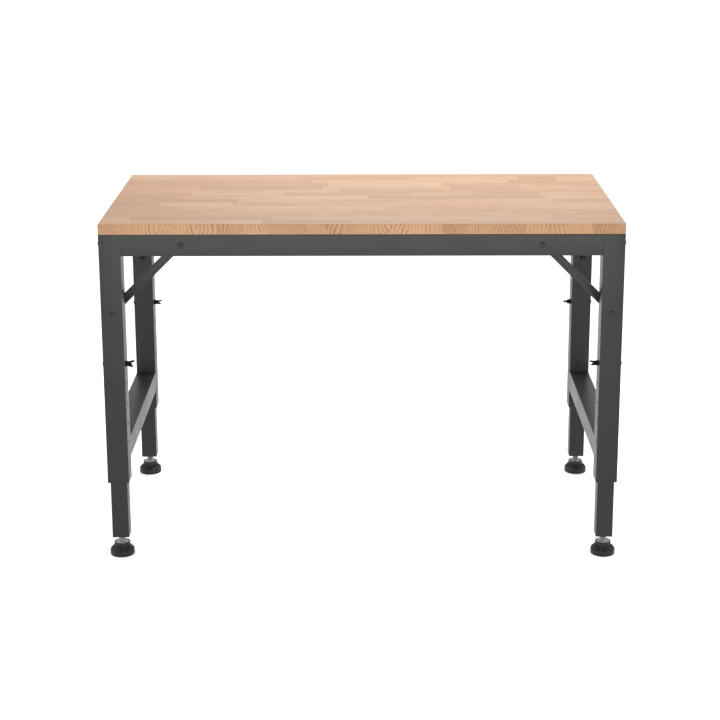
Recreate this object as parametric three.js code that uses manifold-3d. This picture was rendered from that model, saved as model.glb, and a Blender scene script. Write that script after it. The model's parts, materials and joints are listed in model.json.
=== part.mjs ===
// Height-adjustable work bench: a butcher-block top on a frame of square steel tube, with four
// telescoping legs locked by bolts and wing nuts, corner braces and screw-in levelling feet.
// Millimetres, +Z up, +X along the bench, -Y the front; the origin is on the floor below the middle.
import * as THREE from "three";
import { mergeVertices } from "three/addons/utils/BufferGeometryUtils.js";
import Module from "manifold-3d";

const wasm = await Module();
wasm.setup();

// ---- driving dimensions ----
const LENGTH = 1220; // worktop along X
const DEPTH = 610; // worktop along Y
const HEIGHT = 826; // floor to work surface, legs fully in
const TOP_THICKNESS = 25;
const TOP_EDGE = 1; // chamfer round the worktop
const CLEARANCE = 0.3; // left between pieces that touch

const TUBE = { side: 50.8, wall: 2, corner: 1.6 }; // frame and outer legs
const INNER_TUBE = { side: 40, wall: 2, corner: 1.6 }; // telescoping legs
const OUTER_LEG_BOTTOM = 191;
const INNER_LEG_BOTTOM = 49;
const INNER_LEG_TOP = 507;
const STRETCHER_BOTTOM = 241;
const RAIL_END_PLATE = 4;

const HEIGHT_HOLES = { top: 482.5, pitch: 49, count: 6, radius: 4 };
const BRACE = { width: 20, thickness: 3, onRailX: 419, onLegZ: 610.2 };

const BOLT = { radius: 3, tipChamfer: 0.8 }; // M6
const BOLT_HEAD = { radius: 6, height: 4.4, crownRadius: 3.9, rimHeight: 2.2 };
const BOLT_HOLE_RADIUS = 3.4;
const BOLT_LENGTH = { lock: 65, rail: 64, brace: 62 };
const SOCKET = { radius: 2.3, depth: 2.4, sides: 6 };
const WASHER = { inner: 3.4, outer: 7, thickness: 1.6 };
const WING_NUT = { baseRadius: 6.5, topRadius: 5.2, height: 8.5, thickness: 3.4 };
// One wing's outline, from the hub's foot round to its top: x away from the bolt, y along it.
const WING = {
  start: [3.9, 1.2],
  back: [[8, 2.6], [11.6, 6.4], [13.8, 10.6], [14.6, 14.2]],
  front: [[13.2, 16.9], [10.6, 15.6], [8.6, 12], [3.9, 7.8]],
};
const NOTCH_RADIUS = 3.6;

const STUD = { radius: 8, bottom: 14.6, top: 100, tipChamfer: 1 }; // M16
const STUD_FLANGE = { radius: 11, top: 18 };
const FOOT = { radius: 29.2, edge: 1, rimTop: 13.5, collarRadius: 19, collarBottom: 24, top: 31.5 };
const CUP = { radius: 15.5, wall: 1.2, bottom: 12.3, floor: 14.3, top: 30.7 };
const PLUG = { bottom: 50, thickness: 12, corner: 1, holeRadius: 8.3 };

// Angle of each wing nut's wings from upright, tilting back, in degrees.
const WING_ANGLE = { front_left: 78, front_right: 88, rear_left: 88, rear_right: 100 };

// Sides that each kind of round surface is made with.
const SIDES = { hole: 12, bolt: 12, nut: 14, washer: 16, stud: 16, foot: 24 };

// ---- places worked out from them ----
const FRAME_TOP = HEIGHT - TOP_THICKNESS;
const RAIL_MIDDLE = FRAME_TOP - CLEARANCE - TUBE.side / 2; // the rails' bolts are halfway up
const LEG_X = (LENGTH - TUBE.side) / 2;
const LEG_Y = (DEPTH - TUBE.side) / 2;
const BETWEEN_LEGS_X = LENGTH - 2 * TUBE.side;
const BETWEEN_LEGS_Y = DEPTH - 2 * TUBE.side;
const UP = new THREE.Vector3(0, 0, 1);

// ---- materials ----
const material = (color, roughness, metalness) =>
  new THREE.MeshStandardMaterial({ color, roughness, metalness });
const WOOD = material(0xd8b79d, 0.55, 0);
const PAINT = material(0x4a4a48, 0.42, 0.3);
const BLACK_STEEL = material(0x1c1c1c, 0.45, 0.6);
const ZINC = material(0xb9b9b4, 0.32, 0.9);
const RUBBER = material(0x2b2b2b, 0.7, 0);

// ---- solids ----
function solidOf(geometry) {
  const bare = geometry.clone();
  bare.deleteAttribute("normal");
  bare.deleteAttribute("uv");
  const merged = mergeVertices(bare, 1e-4);
  return new wasm.Manifold(
    new wasm.Mesh({
      numProp: 3,
      vertProperties: merged.attributes.position.array,
      triVerts: new Uint32Array(merged.index.array),
    }),
  );
}

function geometryOf(solid) {
  const { vertProperties, triVerts } = solid.getMesh();
  const geometry = new THREE.BufferGeometry();
  geometry.setAttribute("position", new THREE.BufferAttribute(vertProperties, 3));
  geometry.setIndex(new THREE.BufferAttribute(triVerts, 1));
  const faceted = geometry.toNonIndexed();
  faceted.computeVertexNormals();
  return faceted;
}

// A round bar along a unit axis, centred on a point; it cuts the drilled holes.
function drill(axis, radius, length, centre = [0, 0, 0], sides = SIDES.hole) {
  const bar = new THREE.CylinderGeometry(radius, radius, length, sides);
  const turn = new THREE.Quaternion().setFromUnitVectors(new THREE.Vector3(0, 1, 0), axis);
  bar.applyQuaternion(turn);
  bar.translate(...centre);
  return solidOf(bar);
}

function squareOutline(side, corner, Outline) {
  const flat = side / 2 - corner;
  const outline = new Outline();
  outline.absarc(flat, flat, corner, 0, Math.PI / 2);
  outline.absarc(-flat, flat, corner, Math.PI / 2, Math.PI);
  outline.absarc(-flat, -flat, corner, Math.PI, 1.5 * Math.PI);
  outline.absarc(flat, -flat, corner, 1.5 * Math.PI, 2 * Math.PI);
  outline.closePath();
  return outline;
}

function extrude(shape, depth, curveSegments = 3) {
  return new THREE.ExtrudeGeometry(shape, { depth, curveSegments, bevelEnabled: false });
}

function bore({ side, wall }, Outline) {
  const half = side / 2 - wall;
  const outline = new Outline();
  outline.moveTo(-half, -half);
  outline.lineTo(half, -half);
  outline.lineTo(half, half);
  outline.lineTo(-half, half);
  outline.closePath();
  return outline;
}

// An open square tube standing on z = 0.
function tube(section, length) {
  const shape = squareOutline(section.side, section.corner, THREE.Shape);
  shape.holes.push(bore(section, THREE.Path));
  return extrude(shape, length);
}

// A solid turned round Z from [radius, z] points.
function lathe(profile, sides) {
  const points = profile.map(([radius, z]) => new THREE.Vector2(radius, z));
  const turned = new THREE.LatheGeometry(points, sides);
  return turned.rotateX(Math.PI / 2);
}

// ---- frame pieces ----
function worktop() {
  const shape = new THREE.Shape();
  const halfX = LENGTH / 2 - TOP_EDGE;
  const halfY = DEPTH / 2 - TOP_EDGE;
  shape.moveTo(-halfX, -halfY);
  shape.lineTo(halfX, -halfY);
  shape.lineTo(halfX, halfY);
  shape.lineTo(-halfX, halfY);
  shape.closePath();
  const slab = new THREE.ExtrudeGeometry(shape, {
    depth: TOP_THICKNESS - 2 * TOP_EDGE,
    bevelThickness: TOP_EDGE,
    bevelSize: TOP_EDGE,
    bevelSegments: 1,
  });
  return slab.translate(0, 0, TOP_EDGE);
}

// A long rail along X: a tube closed by end plates that the end bolts screw into.
function longRail() {
  const length = BETWEEN_LEGS_X - 2 * CLEARANCE;
  const cavity = length - 2 * RAIL_END_PLATE;
  const centred = (outline, depth) => extrude(outline, depth).translate(0, 0, -depth / 2);
  const outside = centred(squareOutline(TUBE.side, TUBE.corner, THREE.Shape), length);
  const inside = centred(bore(TUBE, THREE.Shape), cavity);
  const alongX = (geometry) => solidOf(geometry.rotateY(Math.PI / 2));
  const xAxis = new THREE.Vector3(1, 0, 0);
  const yAxis = new THREE.Vector3(0, 1, 0);
  let rail = alongX(outside).subtract(alongX(inside));
  rail = rail.subtract(drill(xAxis, BOLT_HOLE_RADIUS, LENGTH));
  for (const x of [-BRACE.onRailX, BRACE.onRailX]) {
    rail = rail.subtract(drill(yAxis, BOLT_HOLE_RADIUS, 2 * TUBE.side, [x, 0, 0]));
  }
  return geometryOf(rail);
}

// A tube along Y between the front and rear legs.
function crossTube() {
  const length = BETWEEN_LEGS_Y - 2 * CLEARANCE;
  return tube(TUBE, length).translate(0, 0, -length / 2).rotateX(Math.PI / 2);
}

// An outer leg on z = 0: locking holes and a rail bolt hole along X, a brace bolt hole along Y.
function outerLeg() {
  const across = 2 * TUBE.side;
  const xAxis = new THREE.Vector3(1, 0, 0);
  const yAxis = new THREE.Vector3(0, 1, 0);
  const zOf = (z) => [0, 0, z - OUTER_LEG_BOTTOM];
  let leg = solidOf(tube(TUBE, FRAME_TOP - CLEARANCE - OUTER_LEG_BOTTOM));
  for (let i = 0; i < HEIGHT_HOLES.count; i += 1) {
    const z = HEIGHT_HOLES.top - i * HEIGHT_HOLES.pitch;
    leg = leg.subtract(drill(xAxis, HEIGHT_HOLES.radius, across, zOf(z)));
  }
  leg = leg.subtract(drill(xAxis, BOLT_HOLE_RADIUS, across, zOf(RAIL_MIDDLE)));
  leg = leg.subtract(drill(yAxis, BOLT_HOLE_RADIUS, across, zOf(BRACE.onLegZ)));
  return geometryOf(leg);
}

// An inner leg on z = 0, with a notch across its top end that seats on the lock bolt.
function innerLeg() {
  const across = 2 * INNER_TUBE.side;
  const notchZ = HEIGHT_HOLES.top - INNER_LEG_BOTTOM;
  const above = INNER_LEG_TOP - HEIGHT_HOLES.top + TUBE.side;
  const slot = new THREE.BoxGeometry(across, 2 * NOTCH_RADIUS, above);
  slot.translate(0, 0, notchZ + above / 2);
  const leg = solidOf(tube(INNER_TUBE, INNER_LEG_TOP - INNER_LEG_BOTTOM));
  const round = drill(new THREE.Vector3(1, 0, 0), NOTCH_RADIUS, across, [0, 0, notchZ]);
  return geometryOf(leg.subtract(round).subtract(solidOf(slot)));
}

// A flat bar with round ends, in the XZ plane from the rail to the leg on the +X side.
function brace() {
  const run = LEG_X - BRACE.onRailX;
  const drop = RAIL_MIDDLE - BRACE.onLegZ;
  const span = Math.hypot(run, drop);
  const radius = BRACE.width / 2;
  const bar = new THREE.Shape();
  bar.absarc(span, 0, radius, -Math.PI / 2, Math.PI / 2);
  bar.absarc(0, 0, radius, Math.PI / 2, 1.5 * Math.PI);
  bar.closePath();
  for (const x of [0, span]) {
    const hole = new THREE.Path();
    hole.absarc(x, 0, BOLT_HOLE_RADIUS, 0, 2 * Math.PI);
    bar.holes.push(hole);
  }
  const flat = extrude(bar, BRACE.thickness, 6).translate(0, 0, -BRACE.thickness / 2);
  return flat.rotateX(Math.PI / 2).rotateY(Math.atan2(drop, run));
}

// ---- fasteners, each along +Z from the head's underside ----
function bolt(length) {
  const { radius, tipChamfer } = BOLT;
  const head = BOLT_HEAD;
  const screw = lathe(
    [
      [0, -head.height],
      [head.crownRadius, -head.height],
      [head.radius, -head.rimHeight],
      [head.radius, 0],
      [radius, 0],
      [radius, length - tipChamfer],
      [radius - tipChamfer, length],
      [0, length],
    ],
    SIDES.bolt,
  );
  const socket = drill(UP, SOCKET.radius, 2 * SOCKET.depth, [0, 0, -head.height], SOCKET.sides);
  return geometryOf(solidOf(screw).subtract(socket));
}

function washer() {
  const { inner, outer, thickness } = WASHER;
  const ring = [
    [inner, 0],
    [outer, 0],
    [outer, thickness],
    [inner, thickness],
    [inner, 0],
  ];
  return lathe(ring, SIDES.washer);
}

function wingOutline(side) {
  const wing = new THREE.Shape();
  const spot = ([x, y]) => new THREE.Vector2(side * x, y);
  wing.moveTo(side * WING.start[0], WING.start[1]);
  wing.splineThru(WING.back.map(spot));
  wing.splineThru(WING.front.map(spot));
  wing.closePath();
  return wing;
}

function wingNut() {
  const { baseRadius, topRadius, height, thickness } = WING_NUT;
  const hub = [
    [0, 0],
    [baseRadius, 0],
    [topRadius, height],
    [0, height],
  ];
  let nut = solidOf(lathe(hub, SIDES.nut));
  for (const side of [-1, 1]) {
    const wing = extrude(wingOutline(side), thickness, 2).translate(0, 0, -thickness / 2);
    nut = nut.add(solidOf(wing.rotateX(Math.PI / 2)));
  }
  return geometryOf(nut.subtract(drill(UP, WASHER.inner, 4 * height)));
}

// ---- levelling foot ----
function footPad() {
  const { radius, edge, rimTop, collarRadius, collarBottom, top } = FOOT;
  const seat = CUP.bottom - CLEARANCE;
  const recess = CUP.radius + CLEARANCE;
  return lathe(
    [
      [0, 0],
      [radius - edge, 0],
      [radius, edge],
      [radius, rimTop],
      [collarRadius, collarBottom],
      [collarRadius, top],
      [recess, top],
      [recess, seat],
      [0, seat],
    ],
    SIDES.foot,
  );
}

function footCup() {
  const { radius, wall, bottom, floor, top } = CUP;
  return lathe(
    [
      [0, bottom],
      [radius, bottom],
      [radius, top],
      [radius - wall, top],
      [radius - wall, floor],
      [0, floor],
    ],
    SIDES.foot,
  );
}

function footStud() {
  const { radius, bottom, top, tipChamfer } = STUD;
  const flange = STUD_FLANGE;
  return lathe(
    [
      [0, bottom],
      [flange.radius, bottom],
      [flange.radius, flange.top],
      [radius, flange.top],
      [radius, top - tipChamfer],
      [radius - tipChamfer, top],
      [0, top],
    ],
    SIDES.stud,
  );
}

// The threaded plate in the inner leg's lower end, on z = 0.
function legPlug() {
  const side = INNER_TUBE.side - 2 * INNER_TUBE.wall - 2 * CLEARANCE;
  const plate = extrude(squareOutline(side, PLUG.corner, THREE.Shape), PLUG.thickness, 1);
  const hole = drill(UP, PLUG.holeRadius, 4 * PLUG.thickness, [0, 0, 0], SIDES.stud);
  return geometryOf(solidOf(plate).subtract(hole));
}

// ---- the bench ----
const bench = new THREE.Group();

function add(name, geometry, finish, x, y, z) {
  const mesh = new THREE.Mesh(geometry, finish);
  mesh.name = name;
  mesh.position.set(x, y, z);
  bench.add(mesh);
  return mesh;
}

function point(mesh, direction) {
  mesh.quaternion.setFromUnitVectors(UP, direction);
}

add("worktop", worktop(), WOOD, 0, 0, FRAME_TOP);

for (const [end, back] of Object.entries({ front: -1, rear: 1 })) {
  add(`${end}_rail`, longRail(), PAINT, 0, back * LEG_Y, RAIL_MIDDLE);
}

for (const [side, right] of Object.entries({ left: -1, right: 1 })) {
  add(`${side}_side_rail`, crossTube(), PAINT, right * LEG_X, 0, RAIL_MIDDLE);
  const stretcherZ = STRETCHER_BOTTOM + TUBE.side / 2;
  add(`${side}_lower_stretcher`, crossTube(), PAINT, right * LEG_X, 0, stretcherZ);
}

function addLeg(corner, x, y) {
  add(`${corner}_outer_leg`, outerLeg(), PAINT, x, y, OUTER_LEG_BOTTOM);
  add(`${corner}_inner_leg`, innerLeg(), PAINT, x, y, INNER_LEG_BOTTOM);
  add(`${corner}_leg_plug`, legPlug(), BLACK_STEEL, x, y, PLUG.bottom);
  add(`${corner}_foot_stud`, footStud(), ZINC, x, y, 0);
  add(`${corner}_foot_cup`, footCup(), ZINC, x, y, 0);
  add(`${corner}_foot_pad`, footPad(), RUBBER, x, y, 0);
}

// The lock bolt's head is outside the bench, its wing nut on the leg's inner side.
function addLock(corner, x, y) {
  const inward = new THREE.Vector3(-Math.sign(x), 0, 0);
  const half = TUBE.side / 2;
  const along = (distance) => x + inward.x * distance;
  const lockZ = HEIGHT_HOLES.top;
  const lock = add(
    `${corner}_lock_bolt`, bolt(BOLT_LENGTH.lock), BLACK_STEEL, along(-half - CLEARANCE), y, lockZ,
  );
  const ring = add(
    `${corner}_lock_washer`, washer(), BLACK_STEEL, along(half + CLEARANCE), y, lockZ,
  );
  point(lock, inward);
  point(ring, inward);
  const nutAt = along(half + WASHER.thickness + 2 * CLEARANCE);
  const nut = add(`${corner}_wing_nut`, wingNut(), BLACK_STEEL, nutAt, y, lockZ);
  const tilt = THREE.MathUtils.degToRad(WING_ANGLE[corner]);
  const wings = new THREE.Vector3(0, Math.sin(tilt), Math.cos(tilt));
  const turn = new THREE.Matrix4().makeBasis(wings, inward.clone().cross(wings), inward);
  nut.quaternion.setFromRotationMatrix(turn);
}

// A brace inside the corner, its two bolts, and the bolt through the leg into the rail's end.
function addCorner(corner, x, y) {
  const right = Math.sign(x);
  const inward = new THREE.Vector3(0, -Math.sign(y), 0);
  const face = y - inward.y * (TUBE.side / 2 + CLEARANCE);
  const braceY = y + inward.y * (TUBE.side / 2 + CLEARANCE + BRACE.thickness / 2);
  const railX = right * BRACE.onRailX;
  const bar = add(`${corner}_brace`, brace(), PAINT, railX, braceY, RAIL_MIDDLE);
  if (right < 0) {
    bar.rotation.z = Math.PI;
  }
  const spots = {
    rail_brace_bolt: [railX, RAIL_MIDDLE],
    leg_brace_bolt: [x, BRACE.onLegZ],
  };
  for (const [name, [boltX, boltZ]] of Object.entries(spots)) {
    const screw = bolt(BOLT_LENGTH.brace);
    point(add(`${corner}_${name}`, screw, BLACK_STEEL, boltX, face, boltZ), inward);
  }
  const outside = x + right * (TUBE.side / 2 + CLEARANCE);
  const rail = bolt(BOLT_LENGTH.rail);
  const railBolt = add(`${corner}_rail_end_bolt`, rail, BLACK_STEEL, outside, y, RAIL_MIDDLE);
  point(railBolt, new THREE.Vector3(-right, 0, 0));
}

for (const [end, back] of Object.entries({ front: -1, rear: 1 })) {
  for (const [side, right] of Object.entries({ left: -1, right: 1 })) {
    const place = [`${end}_${side}`, right * LEG_X, back * LEG_Y];
    addLeg(...place);
    addLock(...place);
    addCorner(...place);
  }
}

export default bench;
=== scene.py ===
"""Looks of the height-adjustable work bench: butcher-block top, powder-coated square tube, braces,
black fasteners with wing nuts, and ribbed levelling feet. Metres, +Z up, the front faces -Y."""

import json
import math
import random

import bmesh
import bpy
from mathutils import Matrix, Vector


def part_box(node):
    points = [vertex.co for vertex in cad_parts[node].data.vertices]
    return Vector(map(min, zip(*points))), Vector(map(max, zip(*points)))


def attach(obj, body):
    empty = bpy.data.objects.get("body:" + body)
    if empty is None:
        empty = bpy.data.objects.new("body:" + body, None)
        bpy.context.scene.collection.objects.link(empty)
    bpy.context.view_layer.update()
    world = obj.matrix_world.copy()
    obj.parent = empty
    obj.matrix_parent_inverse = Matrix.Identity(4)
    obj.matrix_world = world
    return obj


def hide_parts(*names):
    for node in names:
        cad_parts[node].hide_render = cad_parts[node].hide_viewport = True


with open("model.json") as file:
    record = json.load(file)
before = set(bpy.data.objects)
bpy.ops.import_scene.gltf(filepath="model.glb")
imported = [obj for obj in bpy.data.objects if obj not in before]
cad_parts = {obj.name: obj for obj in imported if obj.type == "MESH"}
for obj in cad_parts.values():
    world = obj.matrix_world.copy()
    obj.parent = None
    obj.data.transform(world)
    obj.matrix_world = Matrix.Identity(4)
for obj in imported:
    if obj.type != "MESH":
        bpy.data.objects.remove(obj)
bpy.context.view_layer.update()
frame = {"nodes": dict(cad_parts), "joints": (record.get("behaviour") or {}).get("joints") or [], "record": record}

MM = 0.001
SIDES = {"left": -1, "right": 1}
ENDS = {"front": -1, "rear": 1}
CORNERS = {f"{end}_{side}": (right, back) for end, back in ENDS.items() for side, right in SIDES.items()}
BODY_OF = {node: body for body, nodes in frame["record"]["behaviour"]["bodies"].items() for node in nodes}

# ---------------------------------------------------------------- sizes

STAVE_ROWS = 15
STAVE_LENGTH = (150 * MM, 340 * MM)
STAVE_END_CLEAR = 20 * MM  # no stave joint is closer to the top's ends
BLOCK_WIDTH = (38 * MM, 58 * MM)
TOP_ROUND = 1.0 * MM
LAYOUT_SEED = 48
GRAIN_SEED = 375

TUBE_WALL = 2 * MM
TUBE_CORNER = 0.8 * MM
JOINT_GAP = 0.2 * MM  # taken up at each end of the level tubes
LOCK_HOLE = {"radius": 4.4 * MM, "pitch": 49 * MM, "count": 6}
BOLT_HOLE = 3.4 * MM
BRACE_EDGE = 0.35 * MM

BOLT = {"radius": 3 * MM, "pitch": 1 * MM, "thread_depth": 0.5 * MM, "tip": 0.8 * MM}
HEAD = {"radius": 6 * MM, "height": 4.4 * MM, "crown": 2.6 * MM, "edge": 0.3 * MM}
SOCKET = {"radius": 2.3 * MM, "depth": 2.5 * MM}
THREADED = {
    "lock_bolt": 14 * MM, "rail_end_bolt": 8 * MM, "rail_brace_bolt": 9 * MM, "leg_brace_bolt": 9 * MM,
    "top_bolt": 16 * MM,
}
TOP_BOLT_X = (-0.51, -0.17, 0.17, 0.51)
TOP_BOLT_LENGTH = 66 * MM
TOP_BOLT_CLEAR = 0.1 * MM

NUT = {"across": 10 * MM, "height": 4.6 * MM}
NUT_WASHER = {"inner": 3.3 * MM, "outer": 6.2 * MM, "thickness": 1.0 * MM}
LOCK_WASHER = {"inner": 3.4 * MM, "outer": 7 * MM, "thickness": 1.6 * MM}
STACK_GAP = 0.05 * MM  # between brace, washer and nut
WING_THICKNESS = 3.6 * MM
CAST_VOXEL = 0.33 * MM

STUD = {
    "radius": 8 * MM, "pitch": 2 * MM, "thread_depth": 0.9 * MM,
    "thread_from": 21 * MM, "thread_to": 66 * MM, "tip": 1 * MM,
    "flange": 11 * MM, "flange_top": 18 * MM, "edge": 0.5 * MM,
}
CUP = {"wall": 1.2 * MM, "floor": 2 * MM, "inside_round": 1.5 * MM}
PAD = {
    "ribs": 12, "rib_depth": 4.8 * MM, "rim_top": 13.5 * MM, "collar": 19 * MM, "collar_foot": 24 * MM,
    "mouth": 15.8 * MM, "seat_gap": 0.3 * MM,
}


# ---------------------------------------------------------------- mesh helpers

def centre_of(node):
    low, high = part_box(node)
    return (low + high) / 2


def pointing(way):
    """A turn that takes +Z to a direction."""
    return Vector(way).to_track_quat("Z", "Y").to_matrix().to_4x4()


def shade(mesh, angle):
    """Smooth shading, but for edges sharper than the angle."""
    for face in mesh.polygons:
        face.use_smooth = True
    mesh.set_sharp_from_angle(angle=math.radians(angle))


def piece_from(mesh, name, angle=35):
    """An object for a finished mesh, smooth but for edges sharper than the angle."""
    mesh.update()
    shade(mesh, angle)
    piece = bpy.data.objects.new(name, mesh)
    bpy.context.scene.collection.objects.link(piece)
    return piece


def mesh_from(bm, name):
    bmesh.ops.recalc_face_normals(bm, faces=bm.faces)
    mesh = bpy.data.meshes.new(name)
    bm.to_mesh(mesh)
    bm.free()
    return mesh


def bake_modifiers(piece, angle=35):
    """Applies a piece's modifiers to its mesh."""
    depsgraph = bpy.context.evaluated_depsgraph_get()
    mesh = bpy.data.meshes.new_from_object(piece.evaluated_get(depsgraph))
    piece.modifiers.clear()
    piece.data = mesh
    shade(mesh, angle)
    return piece


def cut(piece, tools, operation="DIFFERENCE"):
    """Combines a piece with its tools, which are used up."""
    for tool in tools:
        change = piece.modifiers.new("cut", "BOOLEAN")
        change.object = tool
        change.operation = operation
        change.solver = "EXACT"
    bpy.context.view_layer.update()
    bake_modifiers(piece)
    for tool in tools:
        bpy.data.objects.remove(tool)
    return piece


def mesh_of(piece):
    """A finished piece's mesh, with the piece itself taken away."""
    mesh = piece.data
    bpy.data.objects.remove(piece)
    return mesh


def ring_points(radius, z, segments, shape):
    """One ring round Z; shape gives how far the radius falls at an angle and height."""
    points = []
    for i in range(segments):
        angle = 2 * math.pi * i / segments
        r = radius - shape(angle, z)
        points.append((r * math.cos(angle), r * math.sin(angle), z))
    return points


def round_shape(angle, z):
    """The shape of a plain round solid: it falls nowhere."""
    return 0.0


def turned(name, profile, segments=48, shape=round_shape, closed=False):
    """A solid of revolution round Z from (radius, z) points, shaped round its axis if asked."""
    bm = bmesh.new()
    rings = []
    for radius, z in profile:
        if radius == 0:
            rings.append([bm.verts.new((0, 0, z))])
        else:
            rings.append([bm.verts.new(p) for p in ring_points(radius, z, segments, shape)])
    pairs = list(zip(rings, rings[1:]))
    if closed:
        pairs.append((rings[-1], rings[0]))
    for lower, upper in pairs:
        low, high = len(lower), len(upper)
        for i in range(segments):
            j = (i + 1) % segments
            corners = [lower[i % low], lower[j % low], upper[j % high], upper[i % high]]
            distinct = list(dict.fromkeys(corners))
            if len(distinct) > 2:
                bm.faces.new(distinct)
    return mesh_from(bm, name)


def arc(centre, radius, start, stop, steps):
    """(radius, z) points of a quarter round or other arc in a profile; angles in degrees."""
    angles = [math.radians(start + (stop - start) * i / steps) for i in range(steps + 1)]
    return [(centre[0] + radius * math.cos(a), centre[1] + radius * math.sin(a)) for a in angles]


def prism(name, outline, depth):
    """A closed prism over an outline in XY, from z = 0 to the depth."""
    bm = bmesh.new()
    low = [bm.verts.new((x, y, 0)) for x, y in outline]
    high = [bm.verts.new((x, y, depth)) for x, y in outline]
    bm.faces.new(list(reversed(low)))
    bm.faces.new(high)
    for i in range(len(outline)):
        j = (i + 1) % len(outline)
        bm.faces.new((low[i], low[j], high[j], high[i]))
    return mesh_from(bm, name)


def polygon(radius, sides):
    angles = [2 * math.pi * i / sides for i in range(sides)]
    return [(radius * math.cos(angle), radius * math.sin(angle)) for angle in angles]


def rod_tool(radius, length, centre, axis, sides=32):
    """A bar through a point along an axis, for drilling."""
    tool = piece_from(prism("tool", polygon(radius, sides), length), "tool")
    tool.matrix_world = Matrix.Translation(centre) @ pointing(axis) @ Matrix.Translation((0, 0, -length / 2))
    return tool


def stand(piece, node, material, *replaced):
    """Gives a piece its material and the body of the CAD node it stands for."""
    piece.data.materials.clear()
    piece.data.materials.append(material)
    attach(piece, BODY_OF[node])
    for name in replaced:
        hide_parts(name)
    return piece


# ---------------------------------------------------------------- materials


class Shader:
    """A Principled material and short ways to add nodes to it."""

    def __init__(self, name):
        self.material = bpy.data.materials.new(name)
        self.material.use_nodes = True
        self.nodes = self.material.node_tree.nodes
        self.links = self.material.node_tree.links
        self.surface = self.nodes["Principled BSDF"]

    def node(self, kind, inputs=None, **settings):
        made = self.nodes.new(kind)
        for key, value in settings.items():
            setattr(made, key, value)
        for key, value in (inputs or {}).items():
            if isinstance(value, bpy.types.NodeSocket):
                self.links.new(value, made.inputs[key])
            else:
                made.inputs[key].default_value = value
        return made

    def place(self):
        return self.node("ShaderNodeTexCoord").outputs["Object"]

    def scaled(self, vector, scale):
        return self.node("ShaderNodeMapping", {"Vector": vector, "Scale": scale}).outputs["Vector"]

    def noise(self, vector, scale, detail=3, roughness=0.5):
        inputs = {"Vector": vector, "Scale": scale, "Detail": detail, "Roughness": roughness}
        return self.node("ShaderNodeTexNoise", inputs).outputs["Fac"]

    def math(self, operation, a, b=0.0):
        return self.node("ShaderNodeMath", {0: a, 1: b}, operation=operation).outputs[0]

    def vector(self, operation, a, b):
        return self.node("ShaderNodeVectorMath", {0: a, 1: b}, operation=operation).outputs[0]

    def spread(self, value, low, high, start=0.3, stop=0.7):
        inputs = {"Value": value, "From Min": start, "From Max": stop, "To Min": low, "To Max": high}
        return self.node("ShaderNodeMapRange", inputs).outputs["Result"]

    def ramp(self, value, stops):
        made = self.node("ShaderNodeValToRGB", {"Fac": value})
        elements = made.color_ramp.elements
        while len(elements) < len(stops):
            elements.new(0.5)
        for element, (position, colour) in zip(elements, stops):
            element.position = position
            element.color = (*colour, 1)
        return made.outputs["Color"]

    def blend(self, kind, factor, a, b):
        inputs = {"Factor": factor, "A": a, "B": b}
        return self.node("ShaderNodeMix", inputs, data_type="RGBA", blend_type=kind).outputs["Result"]

    def bump(self, height, strength, distance, under=None):
        inputs = {"Height": height, "Strength": strength, "Distance": distance}
        if under:
            inputs["Normal"] = under
        return self.node("ShaderNodeBump", inputs).outputs["Normal"]

    def attribute(self, name, output="Fac"):
        return self.node("ShaderNodeAttribute", attribute_name=name).outputs[output]

    def finish(self, colour, roughness, normal, metallic=0.0):
        self.links.new(colour, self.surface.inputs["Base Color"])
        self.links.new(roughness, self.surface.inputs["Roughness"])
        self.links.new(normal, self.surface.inputs["Normal"])
        self.surface.inputs["Metallic"].default_value = metallic
        return self.material


def powder_coat():
    """Satin dark grey powder coat: fine orange peel, faint cloudiness."""
    sh = Shader("powder_coat")
    at = sh.place()
    cloud = sh.noise(at, 9, 4)
    peel = sh.noise(at, 620, 3, 0.6)
    grit = sh.noise(at, 2600, 2)
    colour = sh.ramp(cloud, [(0.3, (0.0105, 0.0105, 0.0097)), (0.7, (0.0140, 0.0140, 0.0130))])
    roughness = sh.spread(cloud, 0.38, 0.45)
    sh.surface.inputs["Specular IOR Level"].default_value = 0.3
    normal = sh.bump(grit, 0.05, 0.1 * MM, sh.bump(peel, 0.12, 0.25 * MM))
    return sh.finish(colour, roughness, normal)


def black_steel(name, dark, light, specular):
    """Black-coated steel, worn a little lighter in patches."""
    sh = Shader(name)
    at = sh.place()
    patch = sh.noise(at, 160, 4)
    colour = sh.ramp(patch, [(0.35, (dark, dark, dark)), (0.75, (light, light, light))])
    roughness = sh.spread(patch, 0.36, 0.5)
    normal = sh.bump(sh.noise(at, 1800, 2), 0.15, 0.1 * MM)
    sh.surface.inputs["Specular IOR Level"].default_value = specular
    return sh.finish(colour, roughness, normal)


def zinc_plate(name, dull, bright, metallic):
    """Zinc plate with fine turned lines and a slight mottle."""
    sh = Shader(name)
    at = sh.place()
    mottle = sh.noise(at, 220, 4)
    lines = sh.noise(sh.scaled(at, (1, 1, 30)), 120, 2)
    colour = sh.ramp(mottle, [(0.3, (dull, dull, 0.96 * dull)), (0.7, (bright, bright, 0.96 * bright))])
    roughness = sh.spread(mottle, 0.28, 0.42)
    normal = sh.bump(lines, 0.1, 0.1 * MM)
    return sh.finish(colour, roughness, normal, metallic)


def moulded_rubber():
    """Dull black moulded rubber with a fine matt skin."""
    sh = Shader("moulded_rubber")
    at = sh.place()
    cloud = sh.noise(at, 70, 4)
    colour = sh.ramp(cloud, [(0.3, (0.007, 0.007, 0.007)), (0.75, (0.013, 0.013, 0.013))])
    roughness = sh.spread(cloud, 0.36, 0.5)
    sh.surface.inputs["Specular IOR Level"].default_value = 0.26
    normal = sh.bump(sh.noise(at, 1500, 3), 0.2, 0.12 * MM)
    return sh.finish(colour, roughness, normal)


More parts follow.
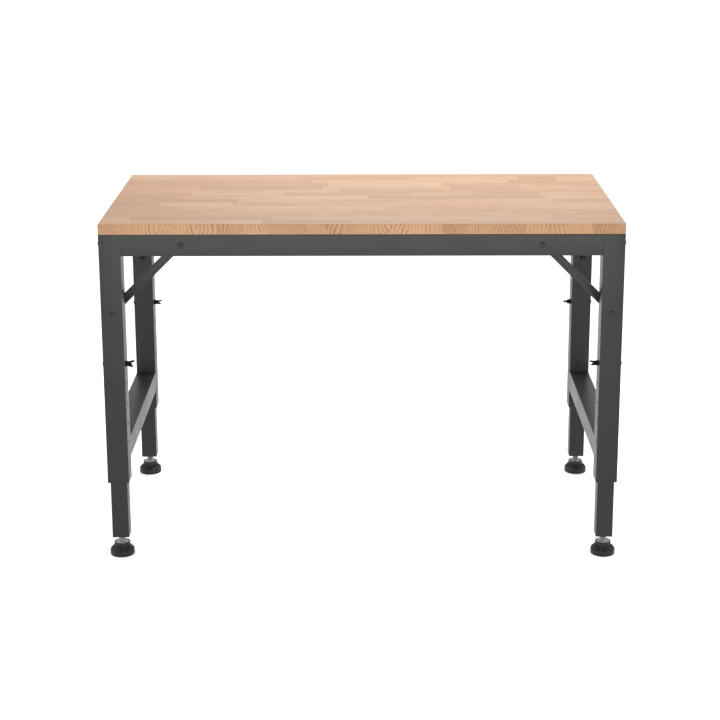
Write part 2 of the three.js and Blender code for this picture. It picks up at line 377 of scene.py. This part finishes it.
def stave_face():
    """Long grain of a hardwood stave: its own tone, drifting growth lines, streaks and short flecks."""
    sh = Shader("stave_face")
    tone = sh.attribute("stave_tone")
    blush = sh.attribute("stave_blush")
    at = sh.vector("ADD", sh.place(), sh.attribute("stave_shift", "Vector"))
    drift = sh.noise(sh.scaled(at, (2.2, 16, 16)), 1.0, 3)
    streak = sh.noise(sh.scaled(at, (6, 190, 190)), 1.0, 5, 0.6)
    fleck = sh.noise(sh.scaled(at, (90, 900, 900)), 1.0, 2, 0.5)
    rings = sh.math("FRACT", sh.math("MULTIPLY", drift, 11))
    shades = [(0.0, (0.341, 0.207, 0.123)), (0.5, (0.405, 0.257, 0.159)), (1.0, (0.477, 0.315, 0.201))]
    growth = [(0.0, (1, 1, 1)), (0.72, (0.955, 0.94, 0.925)), (0.9, (0.90, 0.87, 0.84)), (1.0, (1, 1, 1))]
    base = sh.ramp(tone, shades)
    warm = sh.blend("MIX", sh.math("MULTIPLY", blush, 0.5), base, (0.431, 0.236, 0.147, 1))
    lines = sh.ramp(rings, growth)
    streaks = sh.ramp(streak, [(0.32, (0.90, 0.885, 0.87)), (0.62, (1.03, 1.03, 1.03))])
    flecks = sh.ramp(fleck, [(0.30, (0.84, 0.80, 0.76)), (0.40, (1, 1, 1))])
    colour = sh.blend("MULTIPLY", 0.7, warm, lines)
    colour = sh.blend("MULTIPLY", 0.9, colour, streaks)
    colour = sh.blend("MULTIPLY", 0.6, colour, flecks)
    roughness = sh.spread(streak, 0.54, 0.44)
    sh.surface.inputs["Specular IOR Level"].default_value = 0.15
    normal = sh.bump(fleck, 0.12, 0.1 * MM, sh.bump(streak, 0.10, 0.2 * MM))
    return sh.finish(colour, roughness, normal)


def stave_end():
    """End grain: curved growth rings round each block's own heart, with fine pores."""
    sh = Shader("stave_end")
    place = sh.place()
    tone = sh.attribute("stave_tone")
    at = sh.vector("ADD", place, sh.attribute("stave_shift", "Vector"))
    at = sh.vector("MULTIPLY", at, sh.attribute("ring_plane", "Vector"))
    reach = sh.node("ShaderNodeVectorMath", {0: at}, operation="LENGTH").outputs["Value"]
    wander = sh.spread(sh.noise(at, 34, 4), -5 * MM, 5 * MM, 0.2, 0.8)
    per_metre = sh.spread(sh.attribute("stave_blush"), 1 / (10 * MM), 1 / (5.4 * MM), 0.0, 0.6)
    rings = sh.math("FRACT", sh.math("MULTIPLY", sh.math("ADD", reach, wander), per_metre))
    width = sh.noise(at, 26, 2)
    shades = [(0.0, (0.300, 0.160, 0.076)), (0.5, (0.342, 0.187, 0.090)), (1.0, (0.385, 0.216, 0.108))]
    growth = [
        (0.0, (1.10, 1.10, 1.10)), (0.45, (1.02, 1.01, 0.99)),
        (0.78, (0.50, 0.43, 0.36)), (1.0, (1.10, 1.10, 1.10)),
    ]
    base = sh.ramp(tone, shades)
    soft = sh.ramp(rings, growth)
    pores = sh.ramp(sh.noise(place, 1500, 2), [(0.33, (0.80, 0.76, 0.70)), (0.45, (1, 1, 1))])
    colour = sh.blend("MULTIPLY", sh.spread(width, 0.25, 1.0, 0.35, 0.6), base, soft)
    colour = sh.blend("MULTIPLY", 0.7, colour, pores)
    roughness = sh.spread(width, 0.5, 0.62)
    normal = sh.bump(sh.noise(place, 1500, 2), 0.15, 0.1 * MM)
    return sh.finish(colour, roughness, normal)


PAINT = powder_coat()
BLACK = black_steel("black_oxide", 0.003, 0.008, 0.12)
BOLT_BLACK = black_steel("bolt_black", 0.012, 0.022, 0.3)
ZINC = zinc_plate("zinc_plate", 0.27, 0.40, 0.85)
# For the foot cups: zinc plate made near white and not metallic, a painted reflection of the bright studio and
# painted light on a cup that sits in shade
ZINC_WITH_PAINTED_REFLECTION = zinc_plate("zinc_with_painted_reflection", 0.90, 0.96, 0.0)
RUBBER = moulded_rubber()
FACE_GRAIN = stave_face()
END_GRAIN = stave_end()


# ---------------------------------------------------------------- worktop

def spaced(start, stop, sizes, rng):
    """Places from start to stop at random steps within the sizes, both ends included."""
    places = [start]
    while stop - places[-1] > sizes[1]:
        places.append(places[-1] + rng.uniform(*sizes))
    rest = stop - places[-1]
    if rest > 1.3 * sizes[0]:
        places.append(places[-1] + rest * rng.uniform(0.45, 0.55))
    places.append(stop)
    return places


def split(bm, faces, point, normal):
    """Cuts the faces along a plane, keeping them joined to their neighbours."""
    edges = [e for f in faces for e in f.edges]
    verts = [v for f in faces for v in f.verts]
    parts = list(dict.fromkeys([*faces, *edges, *verts]))  # each once, in a fixed order
    bmesh.ops.bisect_plane(bm, geom=parts, plane_co=point, plane_no=normal, dist=1e-7)


def slab():
    """The worktop's plain block with its edges rounded, and its corners."""
    low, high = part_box("worktop")
    bm = bmesh.new()
    bmesh.ops.create_cube(bm, size=1)
    size = high - low
    bmesh.ops.scale(bm, vec=size, verts=bm.verts)
    bmesh.ops.translate(bm, vec=(low + high) / 2, verts=bm.verts)
    bmesh.ops.bevel(bm, geom=bm.edges[:], offset=TOP_ROUND, segments=3, profile=0.5, affect="EDGES")
    return bm, low, high


def cell(places, value):
    """Which of the gaps between neighbouring places a value falls in."""
    for i in range(len(places) - 1):
        if value < places[i + 1]:
            return i
    return len(places) - 2


def stave_joints(low, high, rng):
    """Where the staves of one row meet, the top's two ends included."""
    start = low - rng.uniform(0, STAVE_LENGTH[0])
    places = spaced(start, high, STAVE_LENGTH, rng)
    inner = [x for x in places if low + STAVE_END_CLEAR < x < high - STAVE_END_CLEAR]
    return [low, *inner, high]


def worktop():
    """The block split into staves on top and end-grain blocks along its edges, each with its own grain."""
    rng = random.Random(LAYOUT_SEED)
    bm, low, high = slab()
    rows = [low.y + (high.y - low.y) * i / STAVE_ROWS for i in range(STAVE_ROWS + 1)]
    for y in rows[1:-1]:
        split(bm, bm.faces[:], (0, y, 0), (0, 1, 0))
    joints = []
    for near, far in zip(rows, rows[1:]):
        places = stave_joints(low.x, high.x, rng)
        joints.append(places)
        for x in places[1:-1]:
            level = [f for f in bm.faces if abs(f.normal.z) > 0.9]
            inside = [f for f in level if near < f.calc_center_median().y < far]
            split(bm, inside, (x, 0, 0), (1, 0, 0))
    edges = {}
    for back in (-1, 1):
        places = spaced(low.x, high.x, BLOCK_WIDTH, rng)
        edges[back] = places
        for x in places[1:-1]:
            facing = [f for f in bm.faces if f.normal.y * back > 0.9]
            split(bm, facing, (x, 0, 0), (1, 0, 0))
    bm.normal_update()
    tone = bm.faces.layers.float.new("stave_tone")
    blush = bm.faces.layers.float.new("stave_blush")
    shift = bm.faces.layers.float_vector.new("stave_shift")
    plane = bm.faces.layers.float_vector.new("ring_plane")
    for f in bm.faces:
        middle = f.calc_center_median()
        row = cell(rows, middle.y)
        if abs(f.normal.z) > 0.5:
            key = ("stave", row, cell(joints[row], middle.x))
        elif abs(f.normal.y) > 0.5:
            back = 1 if f.normal.y > 0 else -1
            key = ("block", back, cell(edges[back], middle.x))
        else:
            key = ("end", row, f.normal.x > 0)
        own = random.Random(" ".join(map(str, (GRAIN_SEED, *key))))
        f[tone] = own.betavariate(2.2, 2.2)
        f[blush] = own.random() ** 2
        if key[0] == "stave":
            f[shift] = Vector([own.uniform(-5, 5) for _ in range(3)])
            f.material_index = 0
        else:
            along = own.choice((-1, 1)) * own.uniform(25, 110) * MM
            up = own.uniform(-30, 30) * MM
            # the middle of the growth rings
            heart = Vector((middle.x + along, middle.y + along, (low.z + high.z) / 2 + up))
            if key[0] == "block":
                places = edges[key[1]]
                heart.x = (places[key[2]] + places[key[2] + 1]) / 2 + along
                f[plane] = Vector((1, 0, 1))
            else:
                heart.y = (rows[row] + rows[row + 1]) / 2 + along
                f[plane] = Vector((0, 1, 1))
            f[shift] = -heart
            f.material_index = 1
    mesh = bpy.data.meshes.new("butcher_block_top")
    bm.to_mesh(mesh)
    bm.free()
    top = piece_from(mesh, "butcher_block_top", 20)
    top.data.materials.append(FACE_GRAIN)
    top.data.materials.append(END_GRAIN)
    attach(top, BODY_OF["worktop"])
    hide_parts("worktop")
    return top


# ---------------------------------------------------------------- square tubes

def rounded_square(half, corner, steps=6):
    """The outline of a tube: a square of this half width with round corners."""
    points = []
    flat = half - corner
    for i, (sx, sy) in enumerate([(1, 1), (-1, 1), (-1, -1), (1, -1)]):
        for k in range(steps + 1):
            angle = math.radians(90 * i + 90 * k / steps)
            points.append((sx * flat + corner * math.cos(angle), sy * flat + corner * math.sin(angle)))
    return points


def tube_mesh(name, side, length, wall, corner):
    """An open square tube along Z, centred on the origin."""
    outer = rounded_square(side / 2, corner)
    inner = rounded_square(side / 2 - wall, corner / 2)
    bm = bmesh.new()
    loops = []
    for outline, z in ((outer, 0), (outer, length), (inner, length), (inner, 0)):
        loops.append([bm.verts.new((x, y, z - length / 2)) for x, y in outline])
    count = len(outer)
    for a, b in zip(loops, loops[1:] + loops[:1]):
        for i in range(count):
            j = (i + 1) % count
            bm.faces.new((a[i], a[j], b[j], b[i]))
    return mesh_from(bm, name)


def tube_for(node, holes=()):
    """A finely rounded tube in the place of a CAD tube, drilled with (radius, point, axis) holes."""
    low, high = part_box(node)
    size = high - low
    axis = max(range(3), key=lambda i: size[i])
    side = min(size)
    length = size[axis] + (0 if axis == 2 else 2 * JOINT_GAP)
    mesh = tube_mesh(node + "_tube", side, length, TUBE_WALL, TUBE_CORNER)
    quarter = math.pi / 2
    turn = (Matrix.Rotation(quarter, 4, "Y"), Matrix.Rotation(quarter, 4, "X"), Matrix.Identity(4))[axis]
    mesh.transform(Matrix.Translation((low + high) / 2) @ turn)
    piece = piece_from(mesh, node + "_tube")
    if holes:
        tools = [rod_tool(radius, 80 * MM, point, way) for radius, point, way in holes]
        cut(piece, tools)
    return stand(piece, node, PAINT, node)


def repaint(node, material):
    """Gives a CAD piece that is kept as it is its material."""
    materials = frame["nodes"][node].data.materials
    materials.clear()
    materials.append(material)


def tubes():
    for end in ENDS:
        rail = centre_of(f"{end}_rail")
        holes = [(BOLT_HOLE, Vector((x, rail.y, rail.z)), (0, 0, 1)) for x in TOP_BOLT_X]
        for side in SIDES:
            bolt = centre_of(f"{end}_{side}_rail_brace_bolt")
            holes.append((BOLT_HOLE, Vector((bolt.x, rail.y, bolt.z)), (0, 1, 0)))
        tube_for(f"{end}_rail", holes)
    for side in SIDES:
        tube_for(f"{side}_side_rail")
        tube_for(f"{side}_lower_stretcher")
    for corner in CORNERS:
        leg = centre_of(f"{corner}_outer_leg")
        lock = centre_of(f"{corner}_lock_bolt")
        end_bolt = centre_of(f"{corner}_rail_end_bolt")
        brace_bolt = centre_of(f"{corner}_leg_brace_bolt")
        holes = [
            (BOLT_HOLE, Vector((leg.x, leg.y, end_bolt.z)), (1, 0, 0)),
            (BOLT_HOLE, Vector((leg.x, leg.y, brace_bolt.z)), (0, 1, 0)),
        ]
        for i in range(LOCK_HOLE["count"]):
            z = lock.z - i * LOCK_HOLE["pitch"]
            holes.append((LOCK_HOLE["radius"], Vector((leg.x, leg.y, z)), (1, 0, 0)))
        tube_for(f"{corner}_outer_leg", holes)
        repaint(f"{corner}_inner_leg", PAINT)
        repaint(f"{corner}_leg_plug", BLACK)


# ---------------------------------------------------------------- braces

def brace_mesh(span, width, thickness):
    """A flat bar along X with round ends, centred on the place of its first hole; the holes are drilled
    afterwards.
    """
    half = width / 2
    steps = 20
    outline = []
    for centre, start in ((span, -90), (0, 90)):
        for i in range(steps + 1):
            angle = math.radians(start + 180 * i / steps)
            outline.append((centre + half * math.cos(angle), half * math.sin(angle)))
    return prism("brace", outline, thickness)


def braces():
    for corner in CORNERS:
        low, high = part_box(f"{corner}_brace")
        upper = centre_of(f"{corner}_rail_brace_bolt")
        lower = centre_of(f"{corner}_leg_brace_bolt")
        middle = (low.y + high.y) / 2
        start = Vector((upper.x, middle, upper.z))
        stop = Vector((lower.x, middle, lower.z))
        thickness = high.y - low.y
        width = (high.x - low.x) - abs(stop.x - start.x)
        bar = piece_from(brace_mesh((stop - start).length, width, thickness), f"{corner}_brace_bar")
        along = (stop - start).normalized()
        normal = Vector((0, 1, 0))
        across = normal.cross(along)
        basis = Matrix((along, across, normal)).transposed().to_4x4()
        bar.data.transform(Matrix.Translation(start) @ basis @ Matrix.Translation((0, 0, -thickness / 2)))
        cut(bar, [rod_tool(BOLT_HOLE, 20 * MM, point, (0, 1, 0)) for point in (start, stop)])
        edge = bar.modifiers.new("edge", "BEVEL")
        edge.width = BRACE_EDGE
        edge.segments = 2
        edge.limit_method = "ANGLE"
        edge.angle_limit = math.radians(50)
        bake_modifiers(bar)
        stand(bar, f"{corner}_brace", PAINT, f"{corner}_brace")


# ---------------------------------------------------------------- fasteners

def thread_cut(pitch, depth, start, stop):
    """How far a thread sinks below a rod's radius at an angle and height."""
    def shape(angle, z):
        if not start <= z <= stop:
            return 0.0
        phase = (z / pitch - angle / (2 * math.pi)) % 1
        fade = min(1.0, (z - start) / pitch, (stop - z) / pitch)
        return depth * fade * (1 - abs(2 * phase - 1))
    return shape


def stepped(start, stop, step):
    count = max(1, round((stop - start) / step))
    return [start + (stop - start) * i / count for i in range(count + 1)]


def bolt_mesh(length, threaded):
    """A pan-head bolt along +Z from its head's underside, with a hexagon socket."""
    shank, wide, tall = BOLT["radius"], HEAD["radius"], HEAD["height"]
    crown, edge, tip = HEAD["crown"], HEAD["edge"], BOLT["tip"]
    head = [(0, -tall), (wide * 0.45, -tall)]
    head += arc((wide - crown, -tall + crown), crown, -80, -5, 6)
    head += [(wide, -edge), (wide - edge, 0), (shank, 0)]
    start = length - threaded
    body = [(shank, z) for z in stepped(start, length - tip, BOLT["pitch"] / 5)]
    profile = head + body + [(shank - tip, length), (0, length)]
    shape = thread_cut(BOLT["pitch"], BOLT["thread_depth"], start, length - tip)
    bolt = piece_from(turned("bolt", profile, 32, shape), "bolt")
    socket = rod_tool(SOCKET["radius"], 2 * SOCKET["depth"], (0, 0, -tall), (0, 0, 1), 6)
    return mesh_of(cut(bolt, [socket]))


def bolts():
    for kind in ("lock_bolt", "rail_end_bolt", "rail_brace_bolt", "leg_brace_bolt"):
        low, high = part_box(f"front_left_{kind}")
        axis = max(range(3), key=lambda i: (high - low)[i])
        length = (high - low)[axis] - HEAD["height"]
        mesh = bolt_mesh(length, THREADED[kind])
        for corner, (right, back) in CORNERS.items():
            node = f"{corner}_{kind}"
            low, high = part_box(node)
            inward = Vector((-right, 0, 0)) if axis == 0 else Vector((0, -back, 0))
            middle = (low + high) / 2
            start = middle - inward * ((high - low)[axis] / 2 - HEAD["height"])
            bolt = piece_from(mesh.copy(), node + "_screw")
            bolt.matrix_world = Matrix.Translation(start) @ pointing(inward)
            stand(bolt, node, BOLT_BLACK, node)


def top_bolts():
    """Bolts up through the long rails into the underside of the worktop."""
    mesh = bolt_mesh(TOP_BOLT_LENGTH, THREADED["top_bolt"])
    for end in ENDS:
        low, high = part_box(f"{end}_rail")
        for number, x in enumerate(TOP_BOLT_X):
            bolt = piece_from(mesh.copy(), f"{end}_top_bolt_{number}")
            bolt.matrix_world = Matrix.Translation((x, (low.y + high.y) / 2, low.z - TOP_BOLT_CLEAR))
            stand(bolt, f"{end}_rail", BOLT_BLACK)


def hex_nut_mesh(across, height):
    """A hexagon nut on z = 0 with chamfered corners."""
    nut = piece_from(prism("nut", polygon(across / 2 / math.cos(math.pi / 6), 6), height), "nut")
    face, waist, past = across * 0.46, across * 0.6, 0.01 * MM
    cone = [(0, -past), (face, -past), (waist, height * 0.3), (waist, height * 0.7)]
    cone += [(face, height + past), (0, height + past)]
    tool = piece_from(turned("cone", cone, 48), "cone")
    cut(nut, [tool], "INTERSECT")
    cut(nut, [rod_tool(BOLT["radius"] + 0.1 * MM, 30 * MM, (0, 0, height / 2), (0, 0, 1))])
    return mesh_of(nut)


def washer_mesh(inner, outer, thickness):
    """A flat washer on z = 0 with broken outer edges."""
    edge = 0.25 * MM
    ring = [
        (inner, 0), (outer - edge, 0), (outer, edge), (outer, thickness - edge),
        (outer - edge, thickness), (inner, thickness),
    ]
    return turned("washer", ring, 48, closed=True)


def brace_nuts():
    """A washer and a nut behind each brace, on the bolt's end."""
    stack = (
        ("washer", washer_mesh(**NUT_WASHER), 0.0),
        ("nut", hex_nut_mesh(**NUT), NUT_WASHER["thickness"] + STACK_GAP),
    )
    for corner, (_, back) in CORNERS.items():
        low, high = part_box(f"{corner}_brace")
        inward = Vector((0, -back, 0))
        face = (low.y if back > 0 else high.y) - back * STACK_GAP
        for kind in ("rail_brace", "leg_brace"):
            bolt = centre_of(f"{corner}_{kind}_bolt")
            place = Matrix.Translation((bolt.x, face, bolt.z))
            for name, mesh, lift in stack:
                piece = piece_from(mesh.copy(), f"{corner}_{kind}_{name}")
                piece.matrix_world = place @ Matrix.Translation(inward * lift) @ pointing(inward)
                stand(piece, f"{corner}_brace", BLACK)


def lock_washers():
    mesh = washer_mesh(**LOCK_WASHER)
    for corner, (right, _) in CORNERS.items():
        node = f"{corner}_lock_washer"
        low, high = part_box(node)
        middle = (low + high) / 2
        start = Vector((high.x if right > 0 else low.x, middle.y, middle.z))
        ring = piece_from(mesh.copy(), node + "_ring")
        ring.matrix_world = Matrix.Translation(start) @ pointing((-right, 0, 0))
        stand(ring, node, BLACK, node)


def smooth_path(points, steps=5):
    """Points along a Catmull-Rom curve through the given ones."""
    ends = [points[0], *points, points[-1]]
    path = []
    for a, b, c, d in zip(ends, ends[1:], ends[2:], ends[3:]):
        for i in range(steps):
            t = i / steps
            path.append(tuple(
                0.5 * (2 * q + (r - p) * t
                       + (2 * p - 5 * q + 4 * r - s) * t**2
                       + (3 * q - p - 3 * r + s) * t**3)
                for p, q, r, s in zip(a, b, c, d)
            ))
    path.append(points[-1])
    return path


def millimetres(points):
    return [(a * MM, b * MM) for a, b in points]


def wing_nut_mesh():
    """A cast wing nut on z = 0: a tapered hub and two wings along X, blended into each other."""
    hub = [(3.3, 0), (6.4, 0), (6.5, 0.4), (5.3, 8.2), (5.0, 8.5), (3.3, 8.5)]
    nut = piece_from(turned("hub", millimetres(hub), 48, closed=True), "wing_nut")
    outer = [(4.2, 0.9), (8, 2.4), (11.6, 6.2), (13.8, 10.4), (14.7, 14.0), (13.6, 16.8)]
    inner = [(11.4, 16.4), (9.6, 13.6), (7.6, 10.4), (4.2, 7.9)]
    outline = millimetres(smooth_path(outer) + smooth_path(inner))
    wings = []
    for side in (1, -1):
        wing = piece_from(prism("wing", [(side * x, y) for x, y in outline], WING_THICKNESS), "wing")
        upright = Matrix.Rotation(math.pi / 2, 4, "X")
        wing.matrix_world = upright @ Matrix.Translation((0, 0, -WING_THICKNESS / 2))
        wings.append(wing)
    cut(nut, wings, "UNION")
    cast = nut.modifiers.new("cast", "REMESH")
    cast.mode = "VOXEL"
    cast.voxel_size = CAST_VOXEL
    blend = nut.modifiers.new("blend", "SMOOTH")
    blend.factor = 0.5
    blend.iterations = 5
    return mesh_of(bake_modifiers(nut, 60))


def wing_nuts():
    mesh = wing_nut_mesh()
    for corner, (right, _) in CORNERS.items():
        node = f"{corner}_wing_nut"
        low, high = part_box(node)
        joint = next(j for j in frame["joints"] if j["name"] == f"{corner}_nut_turn")
        axis = Vector(joint["axis"])
        on_axis = Vector(joint["pos_m"])
        base = Vector((high.x if right > 0 else low.x, on_axis.y, on_axis.z))
        wings = wing_direction(node, on_axis)
        basis = Matrix((wings, axis.cross(wings), axis)).transposed().to_4x4()
        nut = piece_from(mesh.copy(), node + "_cast", 60)
        nut.matrix_world = Matrix.Translation(base) @ basis
        stand(nut, node, BLACK, node)


def wing_direction(node, on_axis):
    """The way a CAD wing nut's wings point: towards its vertex farthest from the bolt."""
    away = [v.co - on_axis for v in frame["nodes"][node].data.vertices]
    flat = [Vector((0, a.y, a.z)) for a in away]
    tip = max(flat, key=lambda a: (round(a.length, 5), a.z))
    length = tip.length
    near = [a for a in flat if a.length > length - 0.2 * MM and a.dot(tip) > 0]
    return sum(near, Vector()).normalized()


# ---------------------------------------------------------------- levelling feet

def foot_pad_mesh(low, high):
    """A ribbed rubber foot: a thick rim, a ribbed flare and a round collar round its socket."""
    rim, collar, mouth = (high.x - low.x) / 2, PAD["collar"], PAD["mouth"]
    base, rim_top, collar_foot, top = low.z, PAD["rim_top"], PAD["collar_foot"], high.z
    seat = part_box("front_left_foot_cup")[0].z - PAD["seat_gap"]
    profile = [(0, base), (rim - 2 * MM, base)]
    profile += arc((rim - 1.5 * MM, base + 1.5 * MM), 1.5 * MM, -90, 0, 4)
    profile += arc((rim - 1.2 * MM, rim_top - 1.2 * MM), 1.2 * MM, 0, 60, 3)
    steps = 9
    for i in range(1, steps):
        t = i / steps
        profile.append((rim + (collar - rim) * t, rim_top + (collar_foot - rim_top) * t))
    profile += [(collar, collar_foot + 0.5 * MM), (collar, collar_foot + 2 * MM)]
    profile += arc((collar - 1 * MM, top - 1 * MM), 1 * MM, 0, 90, 4)
    profile += arc((mouth + 0.6 * MM, top - 0.6 * MM), 0.6 * MM, 90, 180, 3)
    profile += [(mouth, seat), (0, seat)]

    def between_ribs(angle, z):
        rise = (z - rim_top) / (collar_foot - rim_top)
        if not 0 < rise < 1:
            return 0.0
        turn = (angle * PAD["ribs"] / (2 * math.pi)) % 1
        ridge = 1 - min(1.0, max(0.0, abs(turn - 0.5) - 0.13) / 0.10)
        return PAD["rib_depth"] * math.sin(math.pi * rise) ** 0.6 * (1 - ridge)

    return turned("foot_pad", profile, PAD["ribs"] * 12, between_ribs)


def foot_cup_mesh(low, high):
    """A round zinc cup with a thin wall, open at the top."""
    outer = (high.x - low.x) / 2
    inner, floor, inside = outer - CUP["wall"], low.z + CUP["floor"], CUP["inside_round"]
    profile = [(0, low.z), (outer, low.z)]
    profile += [(outer, high.z - 0.4 * MM), (outer - 0.4 * MM, high.z), (inner + 0.3 * MM, high.z)]
    profile += [(inner, high.z - 0.3 * MM)]
    profile += arc((inner - inside, floor + inside), inside, 0, -90, 5)
    profile += [(0, floor)]
    return turned("foot_cup", profile, 64)


def foot_stud_mesh(low, high):
    """A threaded stud on a round flange, which sits in the cup."""
    radius, flange, flange_top, edge = STUD["radius"], STUD["flange"], STUD["flange_top"], STUD["edge"]
    start, stop = STUD["thread_from"], STUD["thread_to"]
    profile = [(0, low.z), (flange - edge, low.z), (flange, low.z + edge)]
    profile += [(flange, flange_top - edge), (flange - edge, flange_top), (radius, flange_top)]
    profile += [(radius, z) for z in stepped(start, stop, STUD["pitch"] / 8)]
    profile += [(radius, high.z - STUD["tip"]), (radius - STUD["tip"], high.z), (0, high.z)]
    return turned("foot_stud", profile, 48, thread_cut(STUD["pitch"], STUD["thread_depth"], start, stop))


def feet():
    makers = {
        "foot_pad": (foot_pad_mesh, RUBBER, 40),
        # the cups' near-white zinc is a painted reflection, not their own colour
        "foot_cup": (foot_cup_mesh, ZINC_WITH_PAINTED_REFLECTION, 30),
        "foot_stud": (foot_stud_mesh, ZINC, 50),
    }
    for kind, (maker, material, angle) in makers.items():
        mesh = maker(*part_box(f"front_left_{kind}"))
        for corner in CORNERS:
            node = f"{corner}_{kind}"
            at = centre_of(node)
            foot = piece_from(mesh.copy(), node + "_detailed", angle)
            foot.matrix_world = Matrix.Translation((at.x, at.y, 0))
            stand(foot, node, material, node)


# ---------------------------------------------------------------- studio and camera

CAMERA = {
    "place": (0.0094, -4.1409, 1.6750), "pitch": 14.199, "turn": 0.202, "roll": -0.152,
    "lens": 85.18, "sensor": 36, "shift_y": -0.11803,
}
LIGHTS = {
    "key": {"place": (0.3, 1.0, 2.0), "target": (0.1, 0.2, 0.8), "size": (1.6, 0.5), "power": 24},
    "front_fill": {"place": (0, -1.6, 0.61), "target": (0, -0.3, 0.75), "size": (2.0, 0.24), "power": 11.5},
}
SKY_STRENGTH = 1.1
FLOOR = {"radius": 12, "shade": 0.97, "glow": 0.2}


def camera():
    data = bpy.data.cameras.new("camera")
    data.lens = CAMERA["lens"]
    data.sensor_width = CAMERA["sensor"]
    data.shift_y = CAMERA["shift_y"]
    data.clip_end = 50
    eye = bpy.data.objects.new("camera", data)
    bpy.context.scene.collection.objects.link(eye)
    eye.location = CAMERA["place"]
    aim = Matrix.Rotation(math.radians(CAMERA["turn"]), 4, "Z")
    tilt = Matrix.Rotation(math.radians(90 - CAMERA["pitch"]), 4, "X")
    roll = Matrix.Rotation(math.radians(CAMERA["roll"]), 4, "Z")
    eye.rotation_euler = (aim @ tilt @ roll).to_euler()
    bpy.context.scene.camera = eye


def area_light(name, place, target, size, power):
    data = bpy.data.lights.new(name, "AREA")
    data.shape = "RECTANGLE"
    data.size, data.size_y = size
    data.energy = power
    lamp = bpy.data.objects.new(name, data)
    bpy.context.scene.collection.objects.link(lamp)
    lamp.location = place
    lamp.rotation_euler = (Vector(target) - Vector(place)).to_track_quat("-Z", "Y").to_euler()
    lamp.visible_camera = False


def studio():
    world = bpy.data.worlds.new("studio")
    bpy.context.scene.world = world
    world.use_nodes = True
    sky = world.node_tree.nodes["Background"]
    sky.inputs["Color"].default_value = (1, 1, 1, 1)
    sky.inputs["Strength"].default_value = SKY_STRENGTH
    bpy.context.scene.view_settings.view_transform = "Standard"
    for name, light in LIGHTS.items():
        area_light(name, **light)

    bm = bmesh.new()
    bmesh.ops.create_circle(bm, cap_ends=True, radius=FLOOR["radius"], segments=64)
    mesh = mesh_from(bm, "floor")
    floor = bpy.data.objects.new("floor", mesh)
    bpy.context.scene.collection.objects.link(floor)
    sh = Shader("pale_floor")
    sh.surface.inputs["Base Color"].default_value = (*[FLOOR["shade"]] * 3, 1)
    sh.surface.inputs["Roughness"].default_value = 0.9
    sh.surface.inputs["Emission Color"].default_value = (1, 1, 1, 1)
    sh.surface.inputs["Emission Strength"].default_value = FLOOR["glow"]
    floor.data.materials.append(sh.material)


camera()
worktop()
tubes()
braces()
bolts()
top_bolts()
brace_nuts()
lock_washers()
wing_nuts()
feet()
studio()
